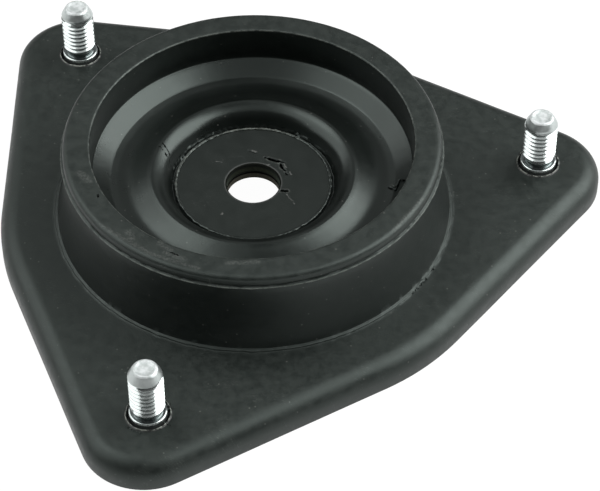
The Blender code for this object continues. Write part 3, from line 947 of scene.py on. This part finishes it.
def edge_mask(tree, place, radius, height):
    """Rubbed light lines, broken up, on the ring's inner edge and along its flash lip."""
    broken = noise_value(tree, place, 1.8, 5.0, 0.65)
    inner = times(tree, band_mask(tree, radius, RING_BORE_R + 0.15, 0.3),
                  band_mask(tree, height, RING_RISE - 0.15, 0.3))
    lip = times(tree, band_mask(tree, radius, LIP_R, 0.45),
                band_mask(tree, height, LIP_RISE + 0.15, 0.35))
    inner = times(tree, inner, remap(tree, broken, 0.42, 0.56, 0.1, 0.8))
    lip = times(tree, lip, remap(tree, broken, 0.38, 0.56, 0.15, 1.0))
    return maths(tree, "MAXIMUM", inner, lip)


def glossy_mask(tree, radius, height):
    """1 inside the ring and less on its flared wall, where the rubber is darker and sleeker."""
    inside = remap(tree, radius, RING_BORE_R + 0.3, RING_BORE_R - 0.2)
    wall = times(tree, remap(tree, height, 0.3, 1.2), remap(tree, height, 18.4, 17.8))
    wall = times(tree, wall, maths(tree, "SUBTRACT", 1.0, inside))
    return maths(tree, "MAXIMUM", inside, times(tree, wall, 0.7))


def make_rubber_material():
    """Black moulded rubber, lighter on the plate and the ring's top, with its wear, painted shade in its
    nicks, and a painted shadow and painted highlights at the torn flap on the ledge.
    """
    material, tree, shader = new_material("moulded_rubber")
    place = hub_coordinates(tree)
    radius = hub_radius(tree, place)
    height_up = hub_height(tree, place)
    glossy = glossy_mask(tree, radius, height_up)
    mottle = noise_value(tree, place, 9.0, 4.0, 0.6)
    blotches = remap(tree, noise_value(tree, place, 2.4, 6.0, 0.72), 0.3, 0.7)
    # a lighter, blotchy tone outside the ring and a darker one inside it and on its flared wall
    outer_color = mix_color(tree, blotches, (0.0035, 0.0050, 0.0043, 1), (0.0105, 0.0126, 0.0112, 1))
    inner_color = mix_color(tree, mottle, (0.0022, 0.003, 0.0026, 1), (0.0045, 0.0056, 0.005, 1))
    color = mix_color(tree, glossy, outer_color, inner_color)
    scuffs = use_group(tree, SCUFFS, {"Vector": place, "Size": 1.3, "Share": 0.55}, "Mask")
    marks = marks_mask(tree, place, RUBBER_SCUFFS_AND_HIGHLIGHTS)
    nicks_and_shadow = remap(tree, marks_mask(tree, place, RUBBER_NICKS_AND_SHADOW), 0.2, 0.6)
    specks = use_group(tree, SPECKS, {"Vector": place, "Size": 1.1, "Share": 0.05}, "Mask")
    worn = times(tree, maths(tree, "SUBTRACT", 1.0, glossy), 0.5)
    color = mix_color(tree, times(tree, scuffs, worn), color, (0.07, 0.075, 0.07, 1))
    color = mix_color(tree, edge_mask(tree, place, radius, height_up), color, (0.10, 0.108, 0.098, 1))
    torn = remap(tree, noise_value(tree, place, 0.55, 4.0, 0.7), 0.42, 0.58, 0.1, 1.0)
    # lighter along the marks: rubbed scuffs, and the painted highlight on the torn flap
    light = times(tree, remap(tree, marks, 0.1, 0.8, 0.0, 0.2), torn)
    color = mix_color(tree, light, color, (0.16, 0.165, 0.155, 1))
    color = mix_color(tree, times(tree, specks, 0.4), color, (0.12, 0.12, 0.11, 1))
    color = mix_color(tree, flash_mask(tree, place, radius, height_up), color, (0.3, 0.32, 0.29, 1))
    # painted shade: the nicks and the flap's shadow go near-black, and metallic keeps them dark
    color = mix_color(tree, nicks_and_shadow, color, (0.002, 0.002, 0.002, 1))
    tree.links.new(nicks_and_shadow, shader.inputs["Metallic"])
    dull = remap(tree, blotches, 0.0, 1.0, 0.42, 0.52)
    sleek = remap(tree, mottle, 0.3, 0.7, 0.27, 0.33)
    roughness = add_node(tree, "ShaderNodeMix", {"Factor": glossy, "A": dull, "B": sleek}).outputs["Result"]
    shader.inputs["Specular Tint"].default_value = COOL_GLOSS
    grain = use_group(tree, GRAIN, {"Vector": place, "Size": 0.45}, "Height")
    height = maths(tree, "SUBTRACT", maths(tree, "ADD", grain, times(tree, marks, 0.6)),
                   times(tree, nicks_and_shadow, 3.0))
    connect(tree, shader, color, roughness, height, 0.3, 0.0001)
    return material


def make_steel_material():
    """Thin black coat on stamped steel, worn to dull metal in the rod hole, with a painted shadow along the
    top of the bearing cup's hole wall.
    """
    material, tree, shader = new_material("coated_steel")
    place = hub_coordinates(tree)
    mottle = noise_value(tree, place, 5.0, 5.0, 0.6)
    color = mix_color(tree, mottle, (0.02, 0.021, 0.021, 1), (0.042, 0.044, 0.043, 1))
    scuffs = use_group(tree, SCUFFS, {"Vector": place, "Size": 1.6, "Share": 0.7}, "Mask")
    color = mix_color(tree, times(tree, scuffs, 0.5), color, (0.14, 0.14, 0.135, 1))
    radius = hub_radius(tree, place)
    height = hub_height(tree, place)
    hole = remap(tree, radius, ROD_HOLE_R + 0.35, ROD_HOLE_R + 0.1)
    cloud = noise_value(tree, place, 0.8, 3.0)
    rust_and_shade = mix_color(tree, cloud, (0.012, 0.011, 0.006, 1), (0.055, 0.052, 0.032, 1))
    # painted shadow along the top of the cup's hole wall, in the gap under the hub plate
    shaded = remap(tree, height, SEAT_TOP - 0.5, SEAT_TOP - 0.25)
    rust_and_shade = mix_color(tree, shaded, rust_and_shade, (0.006, 0.006, 0.005, 1))
    color = mix_color(tree, hole, color, rust_and_shade)
    unlit = times(tree, hole, remap(tree, shaded, 0.0, 1.0, 0.3, 1.0))
    tree.links.new(maths(tree, "MAXIMUM", unlit, 0.3), shader.inputs["Metallic"])
    grain = use_group(tree, GRAIN, {"Vector": place, "Size": 0.35}, "Height")
    satin = remap(tree, mottle, 0.3, 0.7, 0.36, 0.5)
    roughness = maths(tree, "MAXIMUM", satin, times(tree, hole, 0.85))
    connect(tree, shader, color, roughness, grain, 0.15, 0.0001)
    return material


# Light streaks and specks on the hub plate: start and end as angle, radius and height, then width
HUB_STREAKS = (
    ((81.2, 6.6, HUB_RISE), (78.0, 7.0, HUB_RISE), 0.40),
    ((60.0, 9.6, HUB_RISE), (52.0, 9.3, HUB_RISE), 0.30),
    ((41.5, 9.3, HUB_RISE), (37.0, 9.4, HUB_RISE), 0.40),
    ((353.0, 8.8, HUB_RISE), (343.6, 12.2, HUB_RISE), 0.26),
    ((110.4, 10.8, HUB_RISE), (106.0, 10.5, HUB_RISE), 0.45),
    ((156.7, 10.2, HUB_RISE), (160.5, 11.5, HUB_RISE), 0.22),
    ((253.7, 12.3, HUB_RISE), (254.6, 12.6, HUB_RISE), 0.35),
    ((232.0, 13.4, HUB_RISE), (233.0, 13.6, HUB_RISE), 0.25),
)


def make_hub_material():
    """Matt bonding coat on the hub plate, with gouges and light streaks round the rod hole, painted shade
    in the gouges and painted shade at the top and foot of the hole wall.
    """
    material, tree, shader = new_material("hub_coating")
    place = hub_coordinates(tree)
    mottle = noise_value(tree, place, 4.0, 5.0, 0.65)
    color = mix_color(tree, mottle, (0.001, 0.0018, 0.0013, 1), (0.0062, 0.0075, 0.0066, 1))
    scuffs = use_group(tree, SCUFFS, {"Vector": place, "Size": 1.1, "Share": 0.6}, "Mask")
    color = mix_color(tree, times(tree, scuffs, 0.3), color, (0.09, 0.09, 0.088, 1))
    streaks = remap(tree, marks_mask(tree, place, HUB_STREAKS), 0.2, 0.8, 0.0, 0.4)
    color = mix_color(tree, streaks, color, (0.17, 0.17, 0.16, 1))
    height = hub_height(tree, place)
    radius = hub_radius(tree, place)
    burr = remap(tree, height, HUB_RISE, HUB_RISE + 0.04, 0.0, 0.3)
    color = mix_color(tree, burr, color, (0.12, 0.125, 0.115, 1))
    # painted shade: near-black down in the gouges
    gouge_shade = remap(tree, height, HUB_RISE - 0.07, HUB_RISE - 0.2)
    color = mix_color(tree, gouge_shade, color, (0.0008, 0.001, 0.0009, 1))
    bare = remap(tree, radius, ROD_HOLE_R + 0.34, ROD_HOLE_R + 0.26)
    cloud = noise_value(tree, place, 0.5, 3.0)
    metal = mix_color(tree, cloud, (0.006, 0.007, 0.005, 1), (0.05, 0.054, 0.038, 1))
    color = mix_color(tree, bare, color, metal)
    upper = remap(tree, maths(tree, "ADD", height, times(tree, cloud, 0.8)),
                  HUB_RISE - 0.9, HUB_RISE - 0.4)
    lower = remap(tree, height, HUB_RISE - 2.1, HUB_RISE - 2.4)
    shaded = times(tree, bare, maths(tree, "MAXIMUM", upper, lower))
    color = mix_color(tree, shaded, color, (0.012, 0.013, 0.011, 1))
    unlit = maths(tree, "MAXIMUM", shaded, gouge_shade)
    tree.links.new(unlit, shader.inputs["Metallic"])
    edge = times(tree, band_mask(tree, radius, ROD_HOLE_R + ROD_CHAMFER + 0.1, 0.25), 0.25)
    color = mix_color(tree, edge, color, (0.15, 0.15, 0.145, 1))
    shader.inputs["Specular IOR Level"].default_value = 0.36
    grain = use_group(tree, GRAIN, {"Vector": place, "Size": 0.4}, "Height")
    shader.inputs["Specular Tint"].default_value = COOL_GLOSS
    satin = remap(tree, mottle, 0.3, 0.7, 0.46, 0.56)
    roughness = maths(tree, "MAXIMUM", satin, times(tree, bare, 0.85))
    connect(tree, shader, color, roughness, grain, 0.2, 0.0001)
    return material


def make_zinc_material():
    """Zinc plate: bright on the thread, duller and cloudy on the sheared end face, with painted shade on
    the neck.
    """
    material, tree, shader = new_material("zinc_plate")
    place = hub_coordinates(tree)
    height = hub_height(tree, place)
    end_face = remap(tree, height, STUD_RISE - 0.4, STUD_RISE - 0.25)
    cloud = noise_value(tree, place, 1.4, 4.0, 0.6)
    color = mix_color(tree, cloud, (0.42, 0.47, 0.46, 1), (0.66, 0.70, 0.69, 1))
    sheared = mix_color(tree, remap(tree, cloud, 0.35, 0.65), (0.46, 0.50, 0.49, 1), (0.66, 0.69, 0.69, 1))
    color = mix_color(tree, end_face, color, sheared)
    neck_top = SHOULDER_RISE + NECK_LENGTH
    # painted shade on the neck under the last thread
    neck_shade = times(tree, remap(tree, height, SHOULDER_RISE - 0.06, SHOULDER_RISE),
                   remap(tree, height, neck_top + 0.3, neck_top - 0.2))
    color = mix_color(tree, times(tree, neck_shade, 0.75), color, (0.07, 0.09, 0.09, 1))
    tip = remap(tree, height, STUD_RISE - TIP_LENGTH - 0.6, STUD_RISE - TIP_LENGTH + 0.4)
    polished = remap(tree, cloud, 0.3, 0.7, 0.15, 0.24)
    duller = remap(tree, maths(tree, "ADD", tip, end_face), 0.0, 2.0, 0.0, 0.34)
    roughness = maths(tree, "ADD", polished, duller)
    metallic = remap(tree, end_face, 0.0, 1.0, 0.93, 0.6)
    tree.links.new(metallic, shader.inputs["Metallic"])
    grain = use_group(tree, GRAIN, {"Vector": place, "Size": 0.5}, "Height")
    connect(tree, shader, color, roughness, grain, 0.12, 0.00005)
    return material


def make_flash_material():
    """Thin torn rubber round the studs, pale where it has whitened."""
    material, tree, shader = new_material("stud_flash")
    place = hub_coordinates(tree)
    height = hub_height(tree, place)
    torn = times(tree, remap(tree, noise_value(tree, place, 0.9, 5.0, 0.7), 0.42, 0.58),
                 remap(tree, height, 0.02, 0.16))
    color = mix_color(tree, torn, (0.01, 0.012, 0.011, 1), (0.24, 0.26, 0.23, 1))
    grain = use_group(tree, GRAIN, {"Vector": place, "Size": 0.3}, "Height")
    connect(tree, shader, color, remap(tree, torn, 0.0, 1.0, 0.45, 0.6), grain, 0.3, 0.0001)
    return material


# Stage


def set_camera():
    turn = math.radians(CAMERA_TURN)
    tilt = math.radians(CAMERA_TILT)
    spin = Matrix.Rotation(turn, 3, "Z")
    back = spin @ Vector((0.0, -math.cos(tilt), math.sin(tilt)))
    right = spin @ Vector((1.0, 0.0, 0.0))
    up = back.cross(right)
    place = Vector((0.0, HUB_Y, PLATE_TOP))
    place += back * CAMERA_DISTANCE + right * CAMERA_SHIFT_RIGHT + up * CAMERA_SHIFT_UP
    axes = Matrix((right, up, back)).transposed() @ Matrix.Rotation(math.radians(CAMERA_ROLL), 3, "Z")
    data = bpy.data.cameras.new("photo_camera")
    data.lens = LENS
    data.sensor_width = 36.0
    camera = bpy.data.objects.new("photo_camera", data)
    camera.matrix_world = Matrix.Translation(place) @ axes.to_4x4()
    bpy.context.scene.collection.objects.link(camera)
    bpy.context.scene.camera = camera


def add_floor():
    """A white floor that keeps a faint shadow and shows white to the camera and in gloss."""
    bm = bmesh.new()
    bmesh.ops.create_grid(bm, x_segments=1, y_segments=1, size=FLOOR_REACH)
    mesh = bpy.data.meshes.new("floor")
    bm.to_mesh(mesh)
    bm.free()
    floor = bpy.data.objects.new("floor", mesh)
    floor.location.z = -FLOOR_DROP
    bpy.context.scene.collection.objects.link(floor)
    material, tree, shader = new_material("pale_floor")
    shader.inputs["Base Color"].default_value = (0.9, 0.9, 0.9, 1)
    shader.inputs["Roughness"].default_value = 0.9
    shader.inputs["Specular IOR Level"].default_value = 0.1
    path = add_node(tree, "ShaderNodeLightPath").outputs
    seen = maths(tree, "MAXIMUM", path["Is Camera Ray"],
                 maths(tree, "MAXIMUM", path["Is Glossy Ray"], path["Is Transmission Ray"]))
    share = times(tree, seen, 0.93)
    glow = add_node(tree, "ShaderNodeEmission", {"Color": (1, 1, 1, 1), "Strength": 1.05})
    mix = add_node(tree, "ShaderNodeMixShader", {0: share, 1: shader.outputs[0], 2: glow.outputs[0]})
    tree.links.new(mix.outputs[0], tree.nodes["Material Output"].inputs["Surface"])
    mesh.materials.append(material)


def add_softbox(name, turn, rise, width, height, radiance):
    """A soft box towards an azimuth and elevation, both seen from the camera's side."""
    data = bpy.data.lights.new(name, "AREA")
    data.shape = "RECTANGLE"
    data.size = width
    data.size_y = height
    data.energy = radiance * math.pi * width * height
    lamp = bpy.data.objects.new(name, data)
    flat = BOX_DISTANCE * math.cos(math.radians(rise))
    place = polar(turn + CAMERA_TURN, flat, BOX_DISTANCE * math.sin(math.radians(rise)))
    lamp.location = place
    lamp.rotation_euler = (-place).to_track_quat("-Z", "Y").to_euler()
    bpy.context.scene.collection.objects.link(lamp)


def add_world():
    world = bpy.data.worlds.new("studio")
    world.use_nodes = True
    background = world.node_tree.nodes["Background"].inputs
    background["Color"].default_value = (1, 1, 1, 1)
    background["Strength"].default_value = WORLD_STRENGTH
    bpy.context.scene.world = world


MARK = make_mark_group()
SPECKS = make_speck_group()
GRAIN = make_grain_group()
SCUFFS = make_scuff_group()
RUBBER = make_rubber_material()
STEEL = make_steel_material()
HUB_COAT = make_hub_material()
ZINC = make_zinc_material()
TORN_RUBBER = make_flash_material()

make_rubber()
make_stud_flash()
make_crumbs()
make_torn_slivers()
make_steel_plate()
make_hub_disc()
make_bearing_cup()
for stud_side in CORNER_ANGLES:
    make_stud(stud_side)

set_camera()
add_floor()
for box_name, box_values in SOFT_BOXES.items():
    add_softbox(box_name, *box_values)
add_world()
bpy.context.scene.view_settings.view_transform = "Standard"
